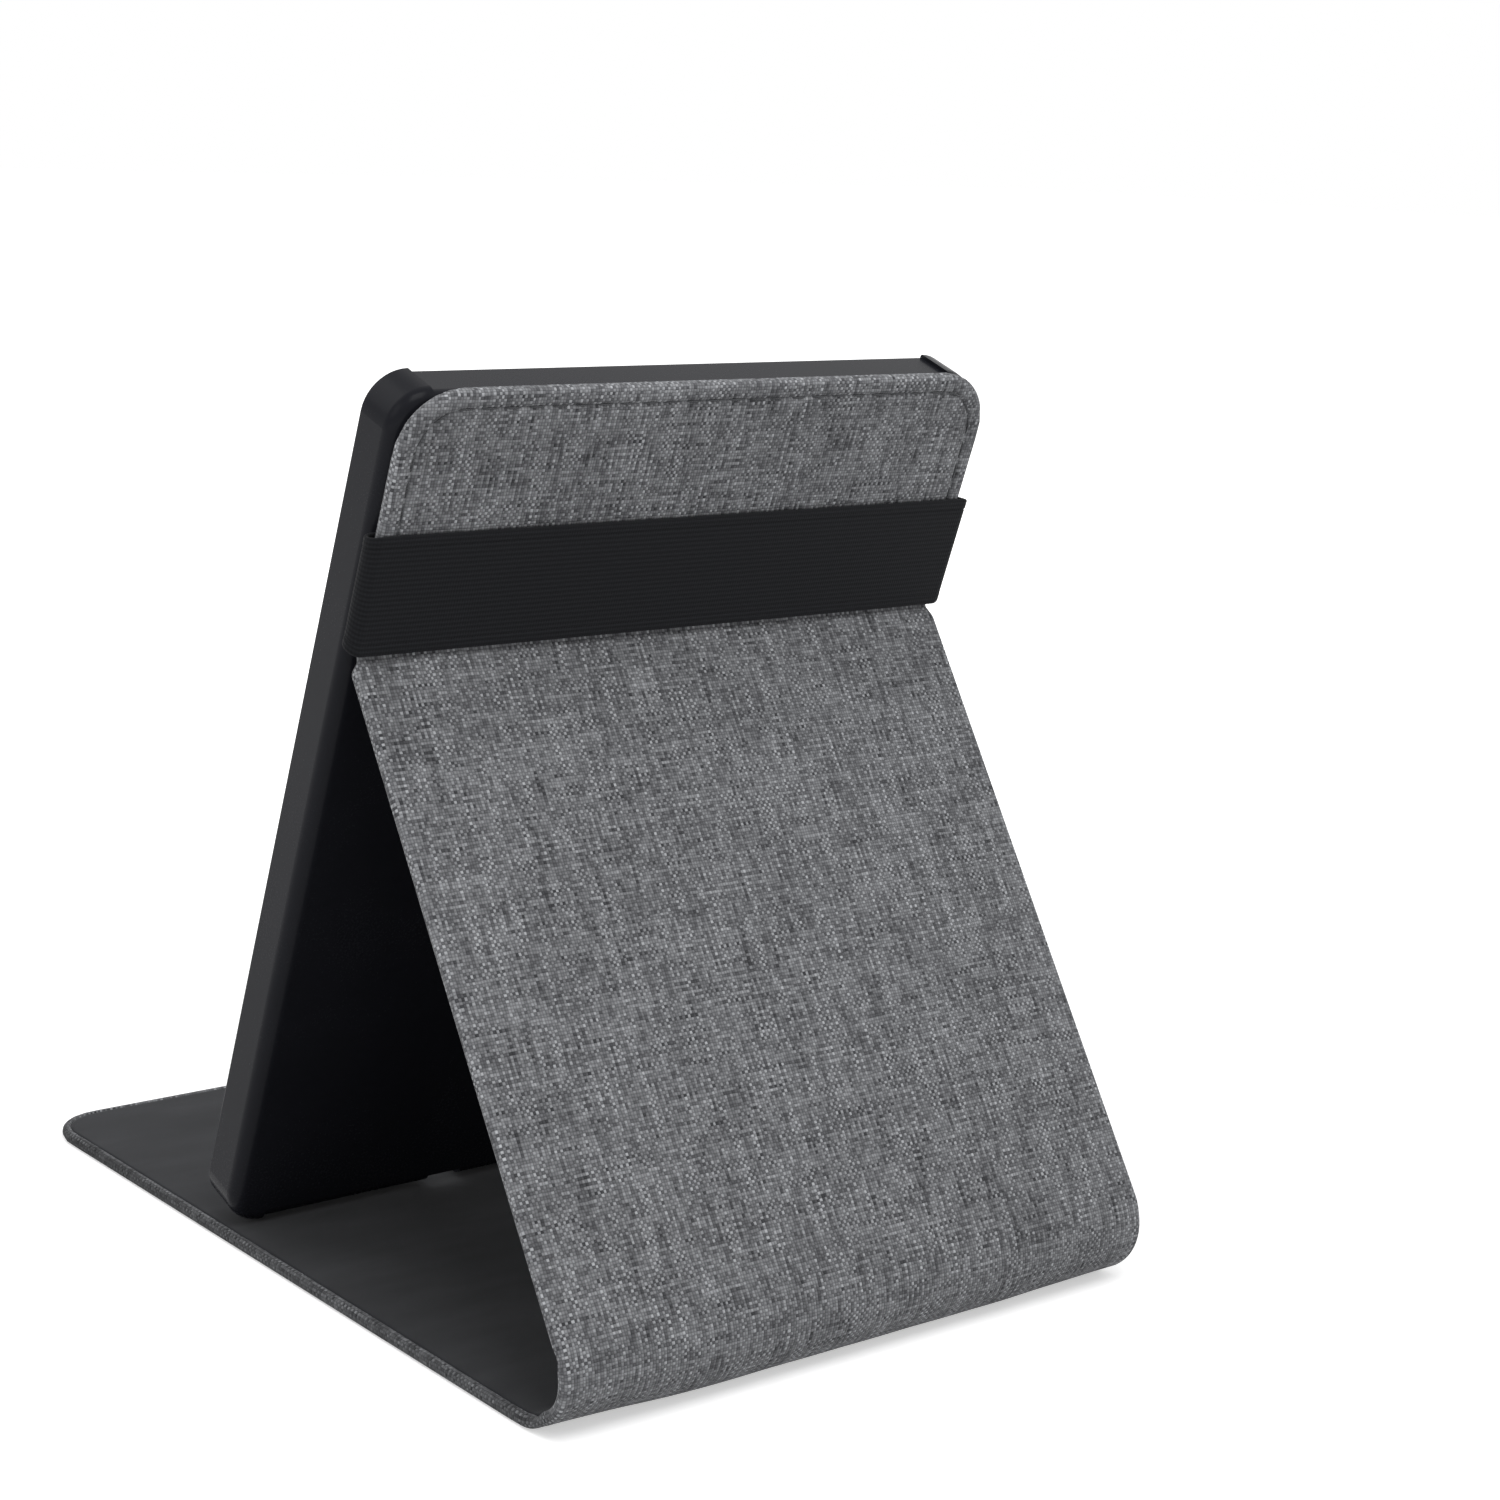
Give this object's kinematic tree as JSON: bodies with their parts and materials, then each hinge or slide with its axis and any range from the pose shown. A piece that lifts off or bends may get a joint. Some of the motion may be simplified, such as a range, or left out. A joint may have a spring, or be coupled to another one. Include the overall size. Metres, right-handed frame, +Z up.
{
  "type": "flip case with kick-stand",
  "caption": "Flip case for an e-reader or small tablet: moulded tray, fabric-covered back that folds out as a kick-stand, spine, front cover and elastic hand strap.",
  "frame": {"origin": "on the table, under the middle of the case as it stands", "axes": "+X along the creases, -Y towards the side that the screen faces, +Z up"},
  "size_m": [0.1246, 0.1711, 0.1554],
  "materials": {
    "melange_fabric": "plain-woven melange, grey and black yarns",
    "lining": "short-napped microfibre",
    "board": "pressed greyboard",
    "magnet": "nickel plated",
    "tape": "closed-cell foam, adhesive on both faces",
    "elastic": "ribbed knitted elastic with a cord edge",
    "tray_plastic": "fine matte moulded"
  },
  "bodies": {
    "front_cover": {"cover_fabric": "melange_fabric", "cover_board": "board", "cover_lining": "lining", "sleep_magnet": "magnet"},
    "spine": {"spine_fabric": "melange_fabric", "spine_board": "board", "spine_lining": "lining"},
    "lower_panel": {"lower_panel_fabric": "melange_fabric", "lower_panel_board": "board", "lower_panel_lining": "lining"},
    "tray": {"upper_panel_fabric": "melange_fabric", "upper_panel_board": "board", "panel_tape": "tape", "hand_strap": "elastic", "device_tray": "tray_plastic"}
  },
  "joints": [
    {"name": "cover_fold", "type": "hinge", "parent": "front_cover", "child": "spine", "pos_m": [0, 0.07921, 0], "axis": [-1, 0, 0], "range_deg": [0, 66.5]},
    {"name": "spine_fold", "type": "hinge", "parent": "spine", "child": "lower_panel", "pos_m": [0, 0.08559, 0.01467], "axis": [-1, 0, 0], "range_deg": [0, 56.25]},
    {"name": "stand_fold", "type": "hinge", "parent": "lower_panel", "child": "tray", "pos_m": [0, 0.02432, 0.10993], "axis": [1, 0, 0], "range_deg": [0, 51.61]}
  ],
  "couplings": [
    {"joint": "stand_fold", "follows": "spine_fold", "ratio": 0.91749}
  ]
}
